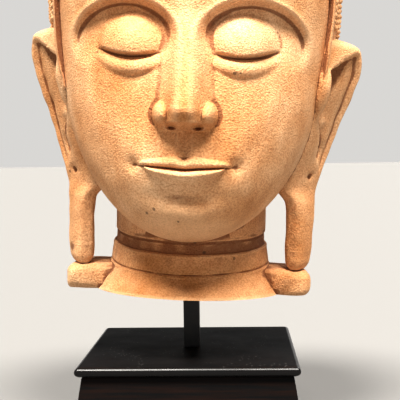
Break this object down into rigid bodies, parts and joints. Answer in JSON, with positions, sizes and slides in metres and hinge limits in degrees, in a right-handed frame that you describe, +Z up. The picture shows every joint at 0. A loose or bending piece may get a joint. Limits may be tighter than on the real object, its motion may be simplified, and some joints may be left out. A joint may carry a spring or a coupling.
{
  "type": "buddha head sculpture",
  "caption": "Carved sandstone buddha head with tight curls, lowered eyes and long ear lobes, held on a square rod above a dark wooden plinth.",
  "frame": {"origin": "centre of the plinth's underside, at the floor", "axes": "+Z up, the face looks along -Y, +X is to the right as the face is looked at"},
  "size_m": [0.1972, 0.2007, 0.3676],
  "materials": {
    "sandstone": "matte",
    "blackened_steel": "satin",
    "ebonised_wood": "satin"
  },
  "bodies": {
    "root": {"stone_head": "sandstone", "mount_rod": "blackened_steel", "plinth_board": "ebonised_wood", "plinth_body": "ebonised_wood"}
  },
  "joints": []
}
